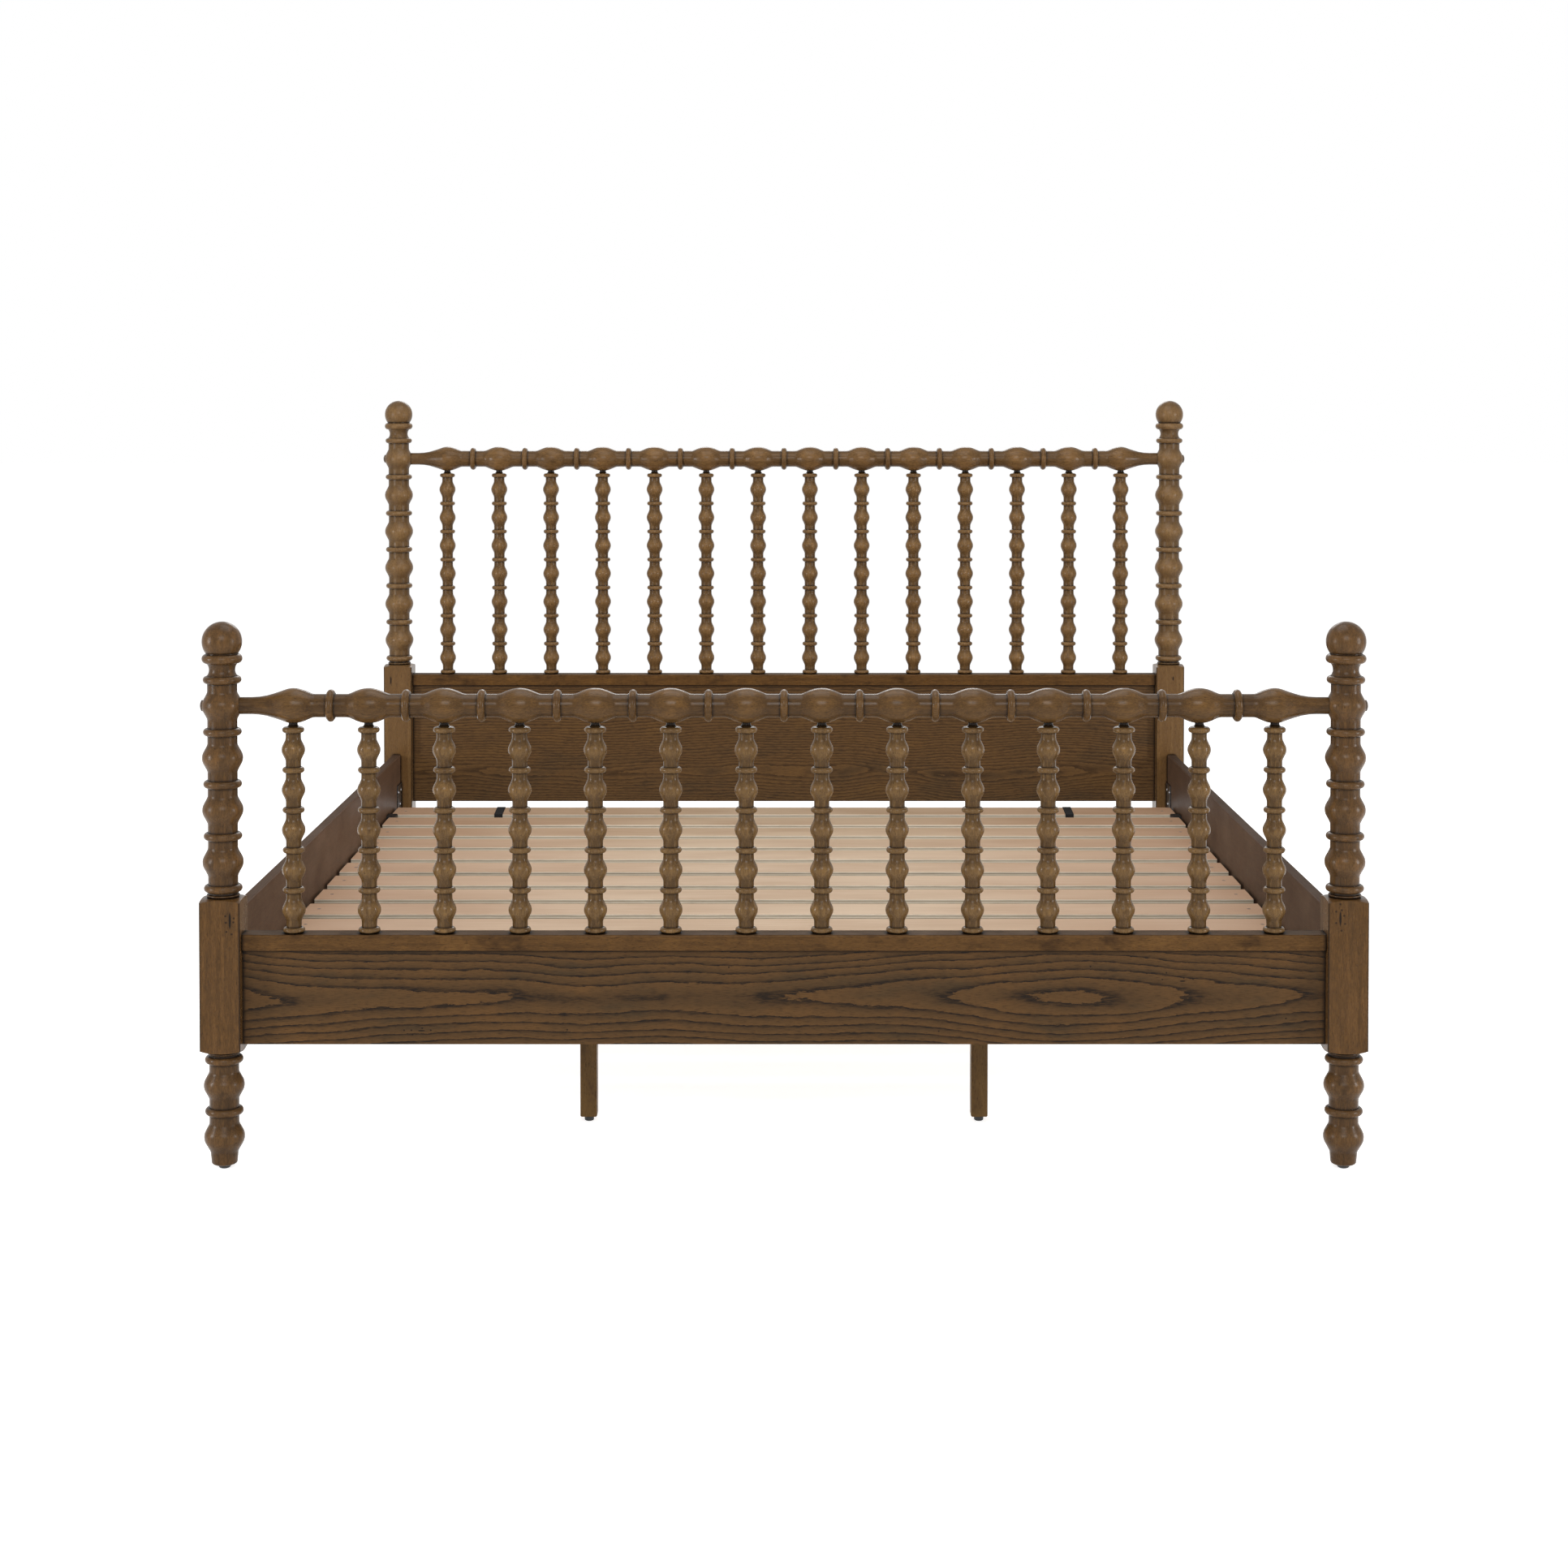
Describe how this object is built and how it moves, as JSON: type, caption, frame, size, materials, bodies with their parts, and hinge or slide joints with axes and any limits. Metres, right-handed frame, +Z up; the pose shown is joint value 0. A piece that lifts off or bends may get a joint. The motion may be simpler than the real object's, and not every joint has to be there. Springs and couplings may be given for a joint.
{
  "type": "spindle bed",
  "caption": "Wooden bedstead with turned bead-and-ring posts, spindles and top rails, a taller headboard, side rails, slats, centre legs and levelling glides.",
  "frame": {"origin": "floor level under the middle of the bed", "axes": "+Z up, +Y from the low foot end to the tall head end, +X to the right as seen from the foot end"},
  "size_m": [2.0374, 2.181, 1.3305],
  "materials": {
    "brown_hardwood": "brown stain under a satin clear coat, lightly distressed",
    "dark_hardwood": "brown stain, satin",
    "pale_plywood": "pale veneered plywood, clear sealed",
    "black_webbing": "woven polyester webbing",
    "black_nylon": "moulded, matt",
    "zinc_steel": "bright zinc plating",
    "bronzed_steel": "dark bronze lacquer"
  },
  "bodies": {
    "bedstead": {"bed_slats": "pale_plywood", "centre_legs": "dark_hardwood", "foot_board": "brown_hardwood", "foot_post_left": "brown_hardwood", "foot_post_right": "brown_hardwood", "foot_rail_cap": "brown_hardwood", "foot_spindle_01": "brown_hardwood", "foot_spindle_02": "brown_hardwood", "foot_spindle_03": "brown_hardwood", "foot_spindle_04": "brown_hardwood", "foot_spindle_05": "brown_hardwood", "foot_spindle_06": "brown_hardwood", "foot_spindle_07": "brown_hardwood", "foot_spindle_08": "brown_hardwood", "foot_spindle_09": "brown_hardwood", "foot_spindle_10": "brown_hardwood", "foot_spindle_11": "brown_hardwood", "foot_spindle_12": "brown_hardwood", "foot_spindle_13": "brown_hardwood", "foot_spindle_14": "brown_hardwood", "foot_top_rail": "brown_hardwood", "head_panel": "brown_hardwood", "head_post_left": "brown_hardwood", "head_post_right": "brown_hardwood", "head_rail_cap": "brown_hardwood", "head_spindle_01": "brown_hardwood", "head_spindle_02": "brown_hardwood", "head_spindle_03": "brown_hardwood", "head_spindle_04": "brown_hardwood", "head_spindle_05": "brown_hardwood", "head_spindle_06": "brown_hardwood", "head_spindle_07": "brown_hardwood", "head_spindle_08": "brown_hardwood", "head_spindle_09": "brown_hardwood", "head_spindle_10": "brown_hardwood", "head_spindle_11": "brown_hardwood", "head_spindle_12": "brown_hardwood", "head_spindle_13": "brown_hardwood", "head_spindle_14": "brown_hardwood", "head_top_rail": "brown_hardwood", "hook_plate_screws": "zinc_steel", "rail_bolts": "bronzed_steel", "rail_hook_plates": "zinc_steel", "side_ledger_left": "dark_hardwood", "side_ledger_right": "dark_hardwood", "side_rail_left": "brown_hardwood", "side_rail_right": "brown_hardwood", "slat_screws": "zinc_steel", "slat_stops": "black_nylon", "slat_straps": "black_webbing", "support_beams": "dark_hardwood"},
    "leg_glide_left_1_unit": {"leg_glide_left_1": "black_nylon"},
    "leg_glide_left_2_unit": {"leg_glide_left_2": "black_nylon"},
    "leg_glide_left_3_unit": {"leg_glide_left_3": "black_nylon"},
    "leg_glide_right_1_unit": {"leg_glide_right_1": "black_nylon"},
    "leg_glide_right_2_unit": {"leg_glide_right_2": "black_nylon"},
    "leg_glide_right_3_unit": {"leg_glide_right_3": "black_nylon"},
    "post_glide_foot_left_unit": {"post_glide_foot_left": "black_nylon"},
    "post_glide_foot_right_unit": {"post_glide_foot_right": "black_nylon"},
    "post_glide_head_left_unit": {"post_glide_head_left": "black_nylon"},
    "post_glide_head_right_unit": {"post_glide_head_right": "black_nylon"}
  },
  "joints": [
    {"name": "leg_glide_left_1_thread", "type": "slide", "parent": "bedstead", "child": "leg_glide_left_1_unit", "axis": [0, 0, -1], "range_m": [0, 0.01]},
    {"name": "leg_glide_left_2_thread", "type": "slide", "parent": "bedstead", "child": "leg_glide_left_2_unit", "axis": [0, 0, -1], "range_m": [0, 0.01]},
    {"name": "leg_glide_left_3_thread", "type": "slide", "parent": "bedstead", "child": "leg_glide_left_3_unit", "axis": [0, 0, -1], "range_m": [0, 0.01]},
    {"name": "leg_glide_right_1_thread", "type": "slide", "parent": "bedstead", "child": "leg_glide_right_1_unit", "axis": [0, 0, -1], "range_m": [0, 0.01]},
    {"name": "leg_glide_right_2_thread", "type": "slide", "parent": "bedstead", "child": "leg_glide_right_2_unit", "axis": [0, 0, -1], "range_m": [0, 0.01]},
    {"name": "leg_glide_right_3_thread", "type": "slide", "parent": "bedstead", "child": "leg_glide_right_3_unit", "axis": [0, 0, -1], "range_m": [0, 0.01]},
    {"name": "post_glide_foot_left_thread", "type": "slide", "parent": "bedstead", "child": "post_glide_foot_left_unit", "axis": [0, 0, -1], "range_m": [0, 0.01]},
    {"name": "post_glide_foot_right_thread", "type": "slide", "parent": "bedstead", "child": "post_glide_foot_right_unit", "axis": [0, 0, -1], "range_m": [0, 0.01]},
    {"name": "post_glide_head_left_thread", "type": "slide", "parent": "bedstead", "child": "post_glide_head_left_unit", "axis": [0, 0, -1], "range_m": [0, 0.01]},
    {"name": "post_glide_head_right_thread", "type": "slide", "parent": "bedstead", "child": "post_glide_head_right_unit", "axis": [0, 0, -1], "range_m": [0, 0.01]}
  ]
}
